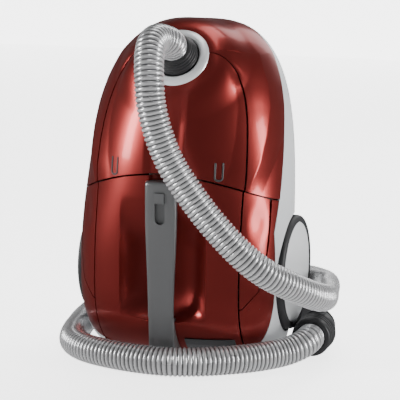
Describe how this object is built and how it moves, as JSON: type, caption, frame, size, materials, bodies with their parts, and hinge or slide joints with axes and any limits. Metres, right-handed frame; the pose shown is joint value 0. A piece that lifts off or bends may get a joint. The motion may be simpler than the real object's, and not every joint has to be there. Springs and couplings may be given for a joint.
{
  "type": "canister vacuum cleaner",
  "caption": "Bagged canister vacuum cleaner with a hinged lid, ribbed suction hose, carry handle, foot pedals, wheels and a swivel caster.",
  "frame": {"origin": "on the standing plane under the middle of the body, measured without the hose and its fittings", "axes": "+Z from the rear end to the nose along the longest extent, -Y towards the lid and handle, +Y towards the underside with the caster, +X to the right seen from the lid side"},
  "size_m": [0.3762, 0.3445, 0.4267],
  "materials": {
    "red_plastic": "glossy metallic lacquer",
    "grey_plastic": "satin moulded",
    "handle_plastic": "satin moulded",
    "dark_plastic": "fine textured",
    "silver_plastic": "satin silver",
    "black_rubber": "matte",
    "tyre_rubber": "matte",
    "steel": "brushed",
    "hose_plastic": "ribbed, silvery",
    "bag_paper": "fleece paper",
    "board": "plain",
    "filter_cloth": "pleated",
    "circuit": "lacquered"
  },
  "bodies": {
    "root": {"lower_housing": "grey_plastic", "upper_frame": "red_plastic", "rear_cover": "red_plastic", "side_panel_left": "red_plastic", "side_panel_right": "red_plastic", "handle": "handle_plastic", "parking_clip": "dark_plastic", "rear_feet": "black_rubber", "cord_outlet": "dark_plastic", "exhaust_grille": "dark_plastic", "exhaust_filter": "filter_cloth", "wheel_wells": "dark_plastic", "wheel_axles": "steel", "caster_socket": "dark_plastic", "dust_compartment": "dark_plastic", "bag_holder": "dark_plastic", "bag_collar": "board", "dust_bag": "bag_paper", "motor_filter": "filter_cloth", "motor_housing": "dark_plastic", "motor_mounts": "black_rubber", "motor_stator": "steel", "motor_bearings": "steel", "fan_shroud": "dark_plastic", "reel_bracket": "dark_plastic", "reel_axle": "steel", "reel_spring_case": "steel", "brake_pin": "steel", "control_board": "circuit", "power_switch": "dark_plastic", "pedal_pivots": "dark_plastic", "hinge_brackets": "dark_plastic", "hinge_pins": "steel", "hose_bend": "hose_plastic", "hose_lower": "hose_plastic", "hose_end_cuff": "dark_plastic", "hose_grip": "dark_plastic"},
    "lid": {"lid": "red_plastic", "lid_arms": "red_plastic", "inlet_ring": "silver_plastic", "inlet_socket": "dark_plastic", "inlet_seal": "black_rubber", "hose_connector": "dark_plastic", "hose_upper": "hose_plastic"},
    "lid_latch": {"lid_latch": "dark_plastic"},
    "power_pedal": {"power_pedal": "red_plastic"},
    "rewind_pedal": {"rewind_pedal": "red_plastic"},
    "suction_slider": {"suction_slider": "handle_plastic"},
    "brake_lever": {"brake_lever": "dark_plastic"},
    "wheel_left": {"wheel_left": "grey_plastic", "tyre_left": "tyre_rubber", "hub_cap_left": "silver_plastic"},
    "wheel_right": {"wheel_right": "grey_plastic", "tyre_right": "tyre_rubber", "hub_cap_right": "silver_plastic"},
    "caster_fork": {"caster_fork": "grey_plastic"},
    "caster_wheel": {"caster_wheel": "tyre_rubber"},
    "fan": {"fan": "steel"},
    "reel_drum": {"reel_drum": "dark_plastic"},
    "air_slider": {"air_slider": "handle_plastic"}
  },
  "joints": [
    {"name": "lid_hinge", "type": "hinge", "parent": "root", "child": "lid", "pos_m": [0, -0.088, 0.219], "axis": [1, 0, 0], "range_deg": [0, 45], "deforming": ["hose_bend"]},
    {"name": "lid_latch_slide", "type": "slide", "parent": "lid", "child": "lid_latch", "axis": [0, 0, -1], "range_m": [0, 0.004], "stiffness_N_per_m": 400},
    {"name": "power_pedal_hinge", "type": "hinge", "parent": "root", "child": "power_pedal", "pos_m": [0, -0.062, 0.094], "axis": [-1, 0, 0], "range_deg": [0, 3], "stiffness_Nm_per_rad": 12},
    {"name": "rewind_pedal_hinge", "type": "hinge", "parent": "root", "child": "rewind_pedal", "pos_m": [0, -0.062, 0.094], "axis": [-1, 0, 0], "range_deg": [0, 3], "stiffness_Nm_per_rad": 12},
    {"name": "brake_pivot", "type": "hinge", "parent": "root", "child": "brake_lever", "pos_m": [0.08, 0.055, 0.065], "axis": [0, 0, 1], "range_deg": [0, 6]},
    {"name": "suction_slide", "type": "slide", "parent": "root", "child": "suction_slider", "axis": [0, 0, -1], "range_m": [0, 0.024]},
    {"name": "wheel_left_spin", "type": "hinge", "parent": "root", "child": "wheel_left", "pos_m": [-0.113, 0.0365, 0.106], "axis": [1, 0, 0], "continuous": true},
    {"name": "wheel_right_spin", "type": "hinge", "parent": "root", "child": "wheel_right", "pos_m": [0.113, 0.0365, 0.106], "axis": [1, 0, 0], "continuous": true},
    {"name": "caster_swivel", "type": "hinge", "parent": "root", "child": "caster_fork", "pos_m": [0, 0.086, 0.318], "axis": [0, 1, 0], "continuous": true},
    {"name": "caster_spin", "type": "hinge", "parent": "caster_fork", "child": "caster_wheel", "pos_m": [0, 0.093, 0.306], "axis": [1, 0, 0], "continuous": true},
    {"name": "fan_spin", "type": "hinge", "parent": "root", "child": "fan", "pos_m": [0, 0.009, 0.15], "axis": [0, 0, 1], "continuous": true},
    {"name": "reel_spin", "type": "hinge", "parent": "root", "child": "reel_drum", "pos_m": [0, 0.01, 0.045], "axis": [0, 0, 1], "continuous": true},
    {"name": "air_slide", "type": "slide", "parent": "root", "child": "air_slider", "axis": [-0.2079, 0.9781, 0], "range_m": [0, 0.01]}
  ],
  "couplings": [
    {"joint": "brake_pivot", "follows": "rewind_pedal_hinge", "ratio": 2}
  ]
}
